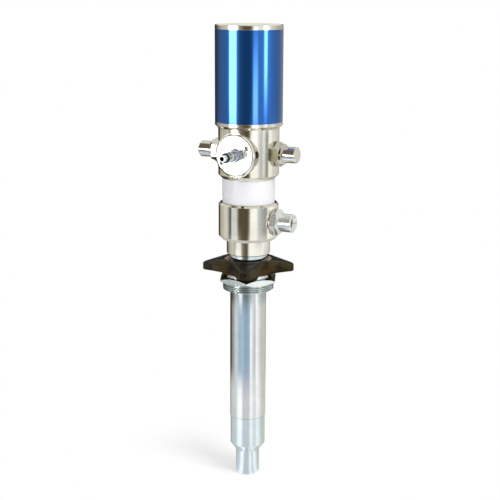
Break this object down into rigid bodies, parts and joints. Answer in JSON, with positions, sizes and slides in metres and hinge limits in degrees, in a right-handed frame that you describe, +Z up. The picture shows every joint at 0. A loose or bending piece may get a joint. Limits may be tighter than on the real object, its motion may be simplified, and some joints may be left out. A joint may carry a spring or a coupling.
{
  "type": "air-operated drum pump",
  "caption": "Drum pump: a piston air motor under a blue barrel, air inlet and silencers, threaded side outlet, bung adapter with star nut, and a suction tube.",
  "frame": {"origin": "on the pump's axis, at the face of the bung adapter that seats on the drum", "axes": "+Z up along the pump's axis, +X along the fluid outlet, -Y along the air inlet"},
  "size_m": [0.124, 0.1146, 0.5369],
  "materials": {
    "head_chrome": "polished",
    "barrel_steel": "polished",
    "blue_film": "clear gloss",
    "motor_nickel": "polished nickel plate",
    "cap_chrome": "polished",
    "nipple_steel": "zinc plate",
    "bronze": "machined",
    "silencer_nickel": "polished nickel plate",
    "silencer_cap_nickel": "satin nickel plate",
    "sintered_bronze": "porous",
    "plain_label": "satin film",
    "outlet_nickel": "polished nickel plate",
    "copper": "soft copper",
    "adapter_zinc": "zinc plate",
    "coupling_zinc": "polished",
    "ring_zinc": "blue zinc plate",
    "tube_zinc": "drawn tube, satin",
    "foot_zinc": "turned, satin",
    "hard_steel": "turned",
    "hard_chrome": "ground and polished",
    "piston_alloy": "turned",
    "bung_zinc": "bright zinc plate",
    "black_plastic": "satin moulded",
    "insert_copper": "copper plate",
    "rubber": "matte"
  },
  "bodies": {
    "pump_body": {"cylinder_head": "head_chrome", "head_seal": "rubber", "air_cylinder": "barrel_steel", "blue_sleeve": "blue_film", "base_seal": "rubber", "motor_body": "motor_nickel", "inlet_cap": "cap_chrome", "inlet_cap_gasket": "rubber", "air_nipple": "nipple_steel", "valve_seat": "bronze", "trip_guide": "bronze", "silencer_base_right": "silencer_nickel", "silencer_base_left": "silencer_nickel", "silencer_cap_right": "silencer_cap_nickel", "silencer_cap_left": "silencer_cap_nickel", "silencer_element_right": "sintered_bronze", "silencer_element_left": "sintered_bronze", "upper_rod_bush": "bronze", "upper_rod_seal": "rubber", "spacer_tube": "motor_nickel", "label_sleeve": "plain_label", "lower_rod_seal": "rubber", "lower_gland": "bronze", "outlet_body": "outlet_nickel", "outlet_seal": "copper", "outlet_adapter": "adapter_zinc", "tube_coupling": "coupling_zinc", "lock_ring": "ring_zinc", "suction_tube": "tube_zinc", "foot_valve_body": "foot_zinc", "foot_seat": "hard_steel", "ball_stop_pin": "hard_steel"},
    "piston_rod_set": {"piston_plate_lower": "piston_alloy", "piston_plate_upper": "piston_alloy", "piston_seal": "rubber", "piston_nut": "hard_steel", "main_rod": "hard_chrome", "pump_piston": "hard_steel", "pump_piston_seals": "rubber", "piston_valve_cage": "hard_steel"},
    "delivery_ball": {"upper_ball": "hard_chrome"},
    "suction_ball": {"foot_ball": "hard_chrome"},
    "trip_set": {"trip_rod": "hard_chrome", "trip_collars": "hard_steel", "valve_carrier": "hard_steel", "slide_valve": "bronze"},
    "drum_adapter": {"bung_adapter": "bung_zinc", "tube_seal": "rubber"},
    "collet": {"clamp_collet": "hard_steel"},
    "hand_nut": {"star_nut": "black_plastic", "nut_insert": "insert_copper"}
  },
  "joints": [
    {"name": "piston_stroke", "type": "slide", "parent": "pump_body", "child": "piston_rod_set", "axis": [0, 0, 1], "range_m": [0, 0.07]},
    {"name": "delivery_lift", "type": "slide", "parent": "piston_rod_set", "child": "delivery_ball", "axis": [0, 0, 1], "range_m": [0, 0.004]},
    {"name": "suction_lift", "type": "slide", "parent": "pump_body", "child": "suction_ball", "axis": [0, 0, 1], "range_m": [0, 0.006]},
    {"name": "valve_shift", "type": "slide", "parent": "pump_body", "child": "trip_set", "axis": [0, 0, 1], "range_m": [0, 0.006]},
    {"name": "adapter_slide", "type": "slide", "parent": "pump_body", "child": "drum_adapter", "axis": [0, 0, 1], "range_m": [-0.14, 0]},
    {"name": "collet_release", "type": "slide", "parent": "drum_adapter", "child": "collet", "axis": [0, 0, 1], "range_m": [0, 0.00231]},
    {"name": "nut_turn", "type": "hinge", "parent": "collet", "child": "hand_nut", "pos_m": [0, 0, 0], "axis": [0, 0, 1], "range_deg": [0, 360]}
  ],
  "couplings": [
    {"joint": "collet_release", "follows": "nut_turn", "m_per_rad": 0.0003675}
  ]
}
